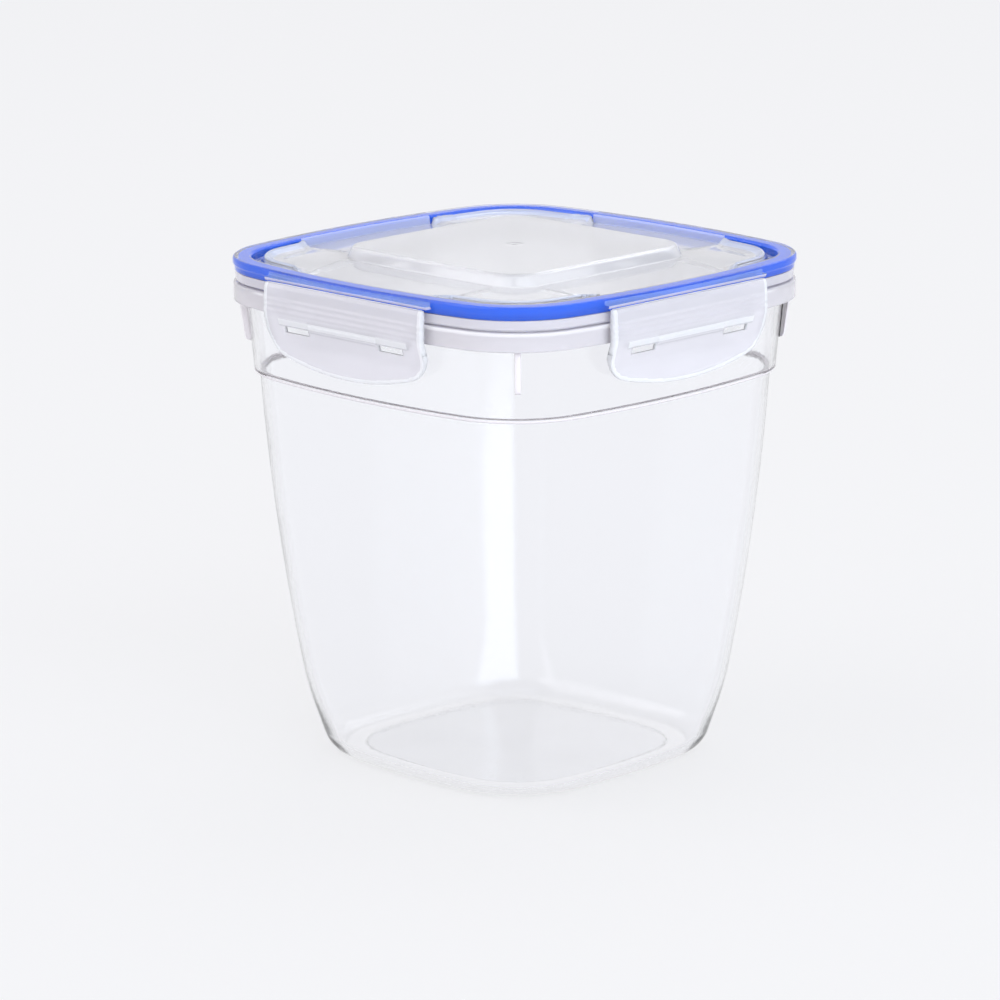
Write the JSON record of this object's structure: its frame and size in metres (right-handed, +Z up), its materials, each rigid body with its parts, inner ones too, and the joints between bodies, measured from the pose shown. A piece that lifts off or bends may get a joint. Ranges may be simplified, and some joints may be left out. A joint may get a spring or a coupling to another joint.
{
  "type": "storage box",
  "caption": "Clear square food storage box with tapered rounded sides, a recessed lid sealed by a blue gasket, and a hinged snap latch on every side.",
  "frame": {"origin": "middle of the underside, on the surface that the box stands on", "axes": "+Z up, towards the lid; the four alike sides, each with a latch, face +X, +Y, -X and -Y"},
  "size_m": [0.1448, 0.1448, 0.1565],
  "materials": {
    "clear_plastic": "clear, glossy",
    "lid_plastic": "clear with a slight haze, glossy",
    "latch_plastic": "translucent, glossy",
    "seal_rubber": "smooth, satin"
  },
  "bodies": {
    "tub": {"tub": "clear_plastic"},
    "lid": {"lid": "lid_plastic", "gasket": "seal_rubber", "film_hinge_front": "latch_plastic", "film_hinge_right": "latch_plastic", "film_hinge_back": "latch_plastic", "film_hinge_left": "latch_plastic"},
    "latch_front": {"latch_front": "latch_plastic"},
    "latch_right": {"latch_right": "latch_plastic"},
    "latch_back": {"latch_back": "latch_plastic"},
    "latch_left": {"latch_left": "latch_plastic"}
  },
  "joints": [
    {"name": "lid_lift", "type": "slide", "parent": "tub", "child": "lid", "axis": [0, 0, 1], "range_m": [0, 0.06]},
    {"name": "latch_front_hinge", "type": "hinge", "parent": "lid", "child": "latch_front", "pos_m": [0, -0.07115, 0.1512], "axis": [-1, 0, 0], "range_deg": [-2.5, 130]},
    {"name": "latch_right_hinge", "type": "hinge", "parent": "lid", "child": "latch_right", "pos_m": [0.07115, 0, 0.1512], "axis": [0, -1, 0], "range_deg": [-2.5, 130]},
    {"name": "latch_back_hinge", "type": "hinge", "parent": "lid", "child": "latch_back", "pos_m": [0, 0.07115, 0.1512], "axis": [1, 0, 0], "range_deg": [-2.5, 130]},
    {"name": "latch_left_hinge", "type": "hinge", "parent": "lid", "child": "latch_left", "pos_m": [-0.07115, 0, 0.1512], "axis": [0, 1, 0], "range_deg": [-2.5, 130]}
  ]
}
